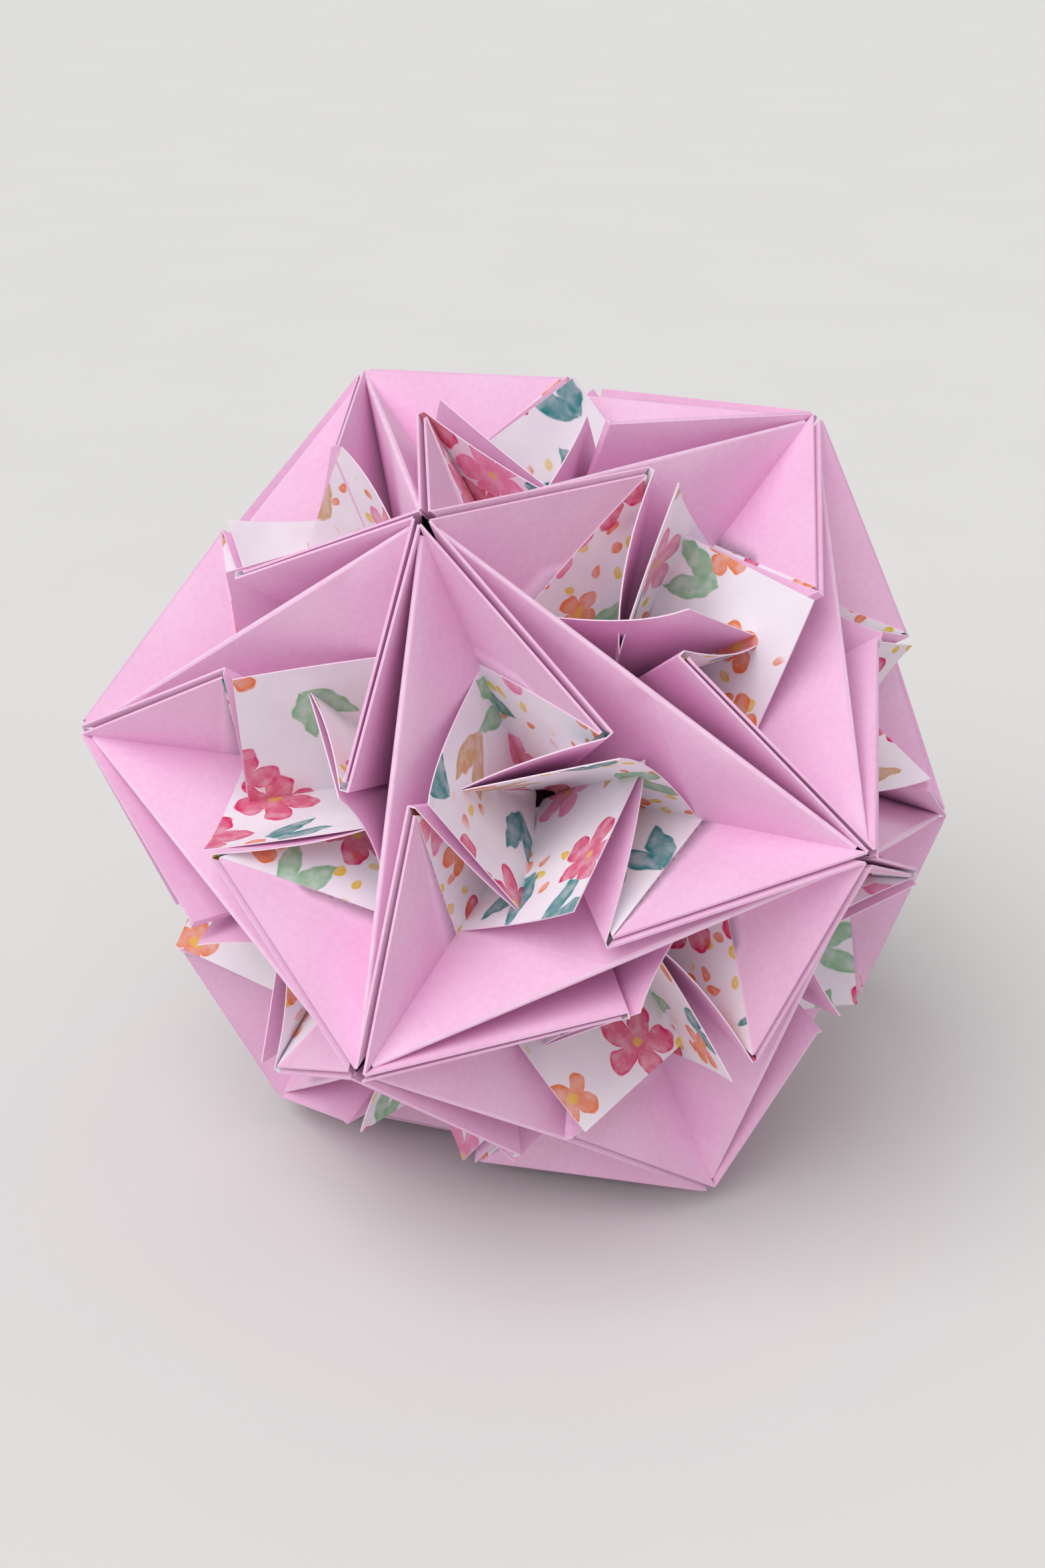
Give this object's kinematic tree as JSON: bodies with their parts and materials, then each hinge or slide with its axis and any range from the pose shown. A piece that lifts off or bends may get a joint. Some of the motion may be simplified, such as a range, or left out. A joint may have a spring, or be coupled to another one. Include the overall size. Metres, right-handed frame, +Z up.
{
  "type": "kusudama paper ball",
  "caption": "Modular folded paper ball: duo paper units lock along sharp ridges, with a sunken star of three printed petals in every hollow.",
  "frame": {"origin": "on the ground plane under the ball's centre, with the ball resting on one of its hollows", "axes": "+Z up through the middle of the upper and lower hollows; -Y towards the front of the ball; +X to its right"},
  "size_m": [0.1018, 0.0976, 0.0886],
  "materials": {
    "duo_paper": "matte"
  },
  "bodies": {
    "root": {"folded_unit_01": "duo_paper", "folded_unit_02": "duo_paper", "folded_unit_03": "duo_paper", "folded_unit_04": "duo_paper", "folded_unit_05": "duo_paper", "folded_unit_06": "duo_paper", "folded_unit_07": "duo_paper", "folded_unit_08": "duo_paper", "folded_unit_09": "duo_paper", "folded_unit_10": "duo_paper", "folded_unit_11": "duo_paper", "folded_unit_12": "duo_paper", "folded_unit_13": "duo_paper", "folded_unit_14": "duo_paper", "folded_unit_15": "duo_paper", "folded_unit_16": "duo_paper", "folded_unit_17": "duo_paper", "folded_unit_18": "duo_paper", "folded_unit_19": "duo_paper", "folded_unit_20": "duo_paper", "folded_unit_21": "duo_paper", "folded_unit_22": "duo_paper", "folded_unit_23": "duo_paper", "folded_unit_24": "duo_paper", "folded_unit_25": "duo_paper", "folded_unit_26": "duo_paper", "folded_unit_27": "duo_paper", "folded_unit_28": "duo_paper", "folded_unit_29": "duo_paper", "folded_unit_30": "duo_paper"}
  },
  "joints": []
}
